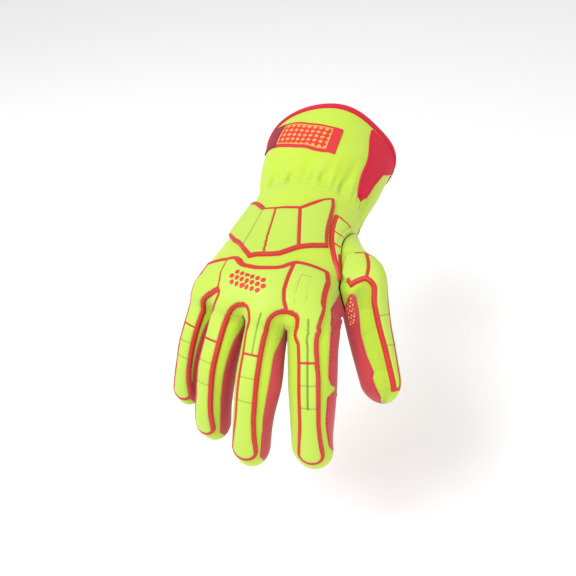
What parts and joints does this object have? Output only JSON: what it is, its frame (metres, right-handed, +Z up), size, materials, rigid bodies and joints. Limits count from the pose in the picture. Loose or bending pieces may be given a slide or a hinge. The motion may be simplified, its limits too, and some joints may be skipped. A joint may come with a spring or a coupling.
{
  "type": "impact work glove",
  "caption": "Right-hand impact work glove in a relaxed worn form, with raised moulded guards over knuckles, fingers, thumb and wrist, a leather palm and a wide slip-on cuff.",
  "frame": {"origin": "middle of the wrist, where the hand's panels meet the cuff and a wrist would hold the glove", "axes": "+Y out of the cuff along the forearm, +X towards the thumb, +Z up out of the back of the hand; the fingers point along -Y and hang down"},
  "size_m": [0.1607, 0.2652, 0.1486],
  "materials": {
    "hi_vis_cloth": "high-visibility yellow-green knitted textile, matt",
    "palm_leather": "coral-red synthetic leather, soft and matt",
    "guard_yellow": "yellow-green moulded thermoplastic rubber, satin",
    "guard_red": "red moulded thermoplastic rubber, satin",
    "trim_cloth": "red knitted binding and stretch gusset",
    "label_cloth": "red woven label with a gold frame, no words"
  },
  "bodies": {
    "root": {"back_panel": "hi_vis_cloth", "thumb_back_panel": "hi_vis_cloth", "cuff": "hi_vis_cloth", "palm_panel": "palm_leather", "thumb_palm_panel": "palm_leather", "thumb_crotch_patch": "palm_leather", "wrist_guard_base": "guard_red", "knuckle_guard_base": "guard_red", "saddle_guard_base": "guard_red", "thumb_guard_base": "guard_red", "wrist_pad_1": "guard_yellow", "wrist_pad_2": "guard_yellow", "wrist_pad_3": "guard_yellow", "wrist_pad_4": "guard_yellow", "knuckle_pad_little": "guard_yellow", "knuckle_pad_ring": "guard_yellow", "knuckle_pad_index": "guard_yellow", "little_block_1": "guard_yellow", "little_block_2": "guard_yellow", "little_tip_pad": "guard_yellow", "ring_block_1": "guard_yellow", "ring_block_2": "guard_yellow", "ring_tip_pad": "guard_yellow", "middle_block_1": "guard_yellow", "middle_block_2": "guard_yellow", "middle_tip_pad": "guard_yellow", "index_block_1": "guard_yellow", "index_block_2": "guard_yellow", "index_tip_pad": "guard_yellow", "saddle_pad_1": "guard_yellow", "saddle_pad_2": "guard_yellow", "saddle_pad_3": "guard_yellow", "thumb_pad_1": "guard_yellow", "thumb_pad_2": "guard_yellow", "thumb_pad_3": "guard_yellow", "thumb_pad_4": "guard_yellow", "cuff_binding": "trim_cloth", "cuff_gusset": "trim_cloth", "cuff_label": "label_cloth"}
  },
  "joints": []
}
